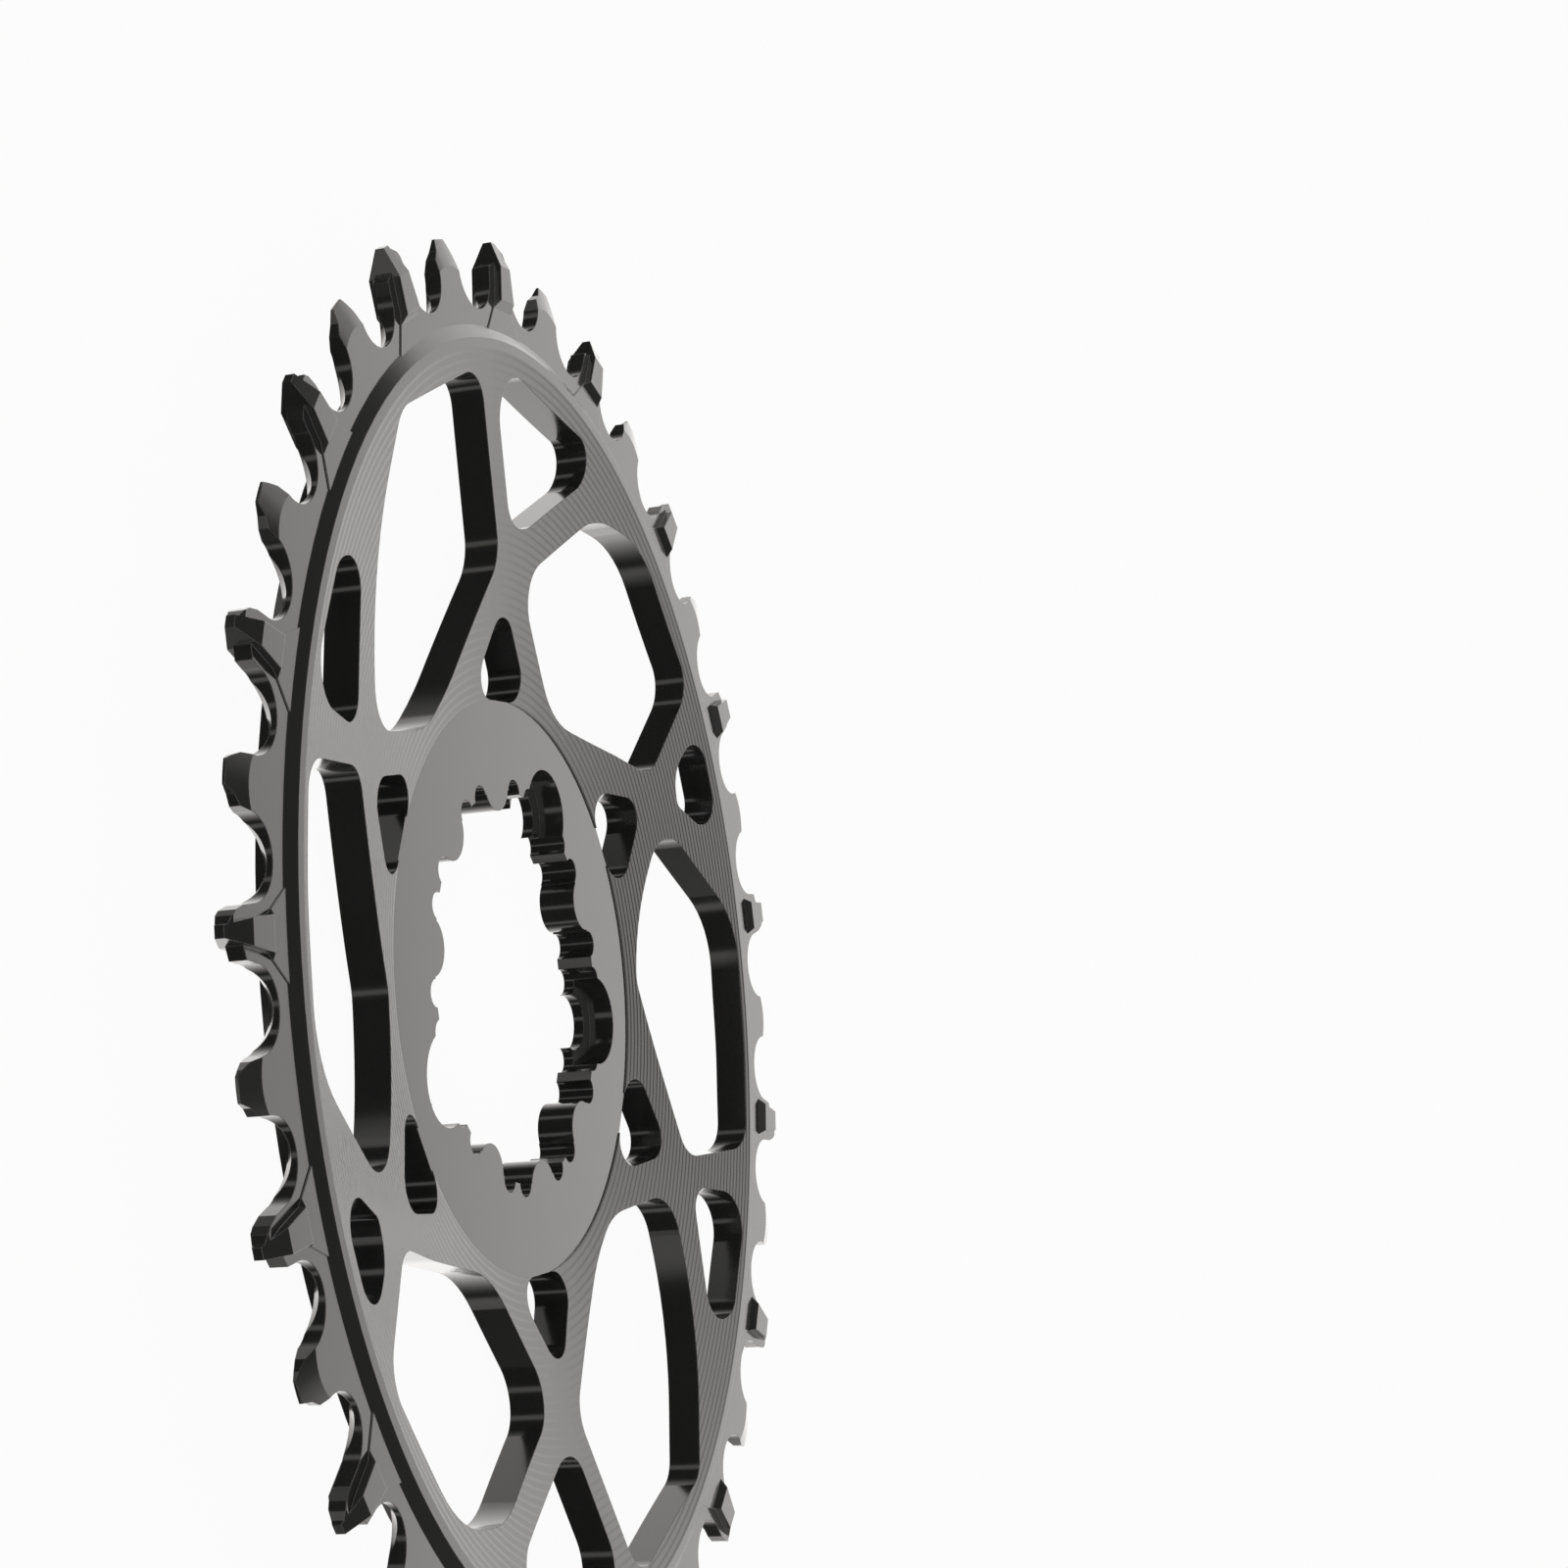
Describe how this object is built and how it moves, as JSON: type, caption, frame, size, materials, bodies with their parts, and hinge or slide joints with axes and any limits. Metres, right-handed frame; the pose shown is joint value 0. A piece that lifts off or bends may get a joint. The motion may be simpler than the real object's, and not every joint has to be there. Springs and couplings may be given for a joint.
{
  "type": "bicycle chainring",
  "caption": "Oval one-piece bicycle chainring with narrow and wide teeth in turn, a dished web with cut-out windows and a splined hub opening that fits straight onto a crank.",
  "frame": {"origin": "on the ring's axis, in the plane of the hub's rear face", "axes": "+Z along the ring's axis towards its dished front, +X along the long axis of the oval"},
  "size_m": [0.1536, 0.1358, 0.009],
  "materials": {
    "anodised": "black anodised, semi-matt, with fine turned grooves on the dished front"
  },
  "bodies": {
    "root": {"chainring": "anodised"}
  },
  "joints": []
}
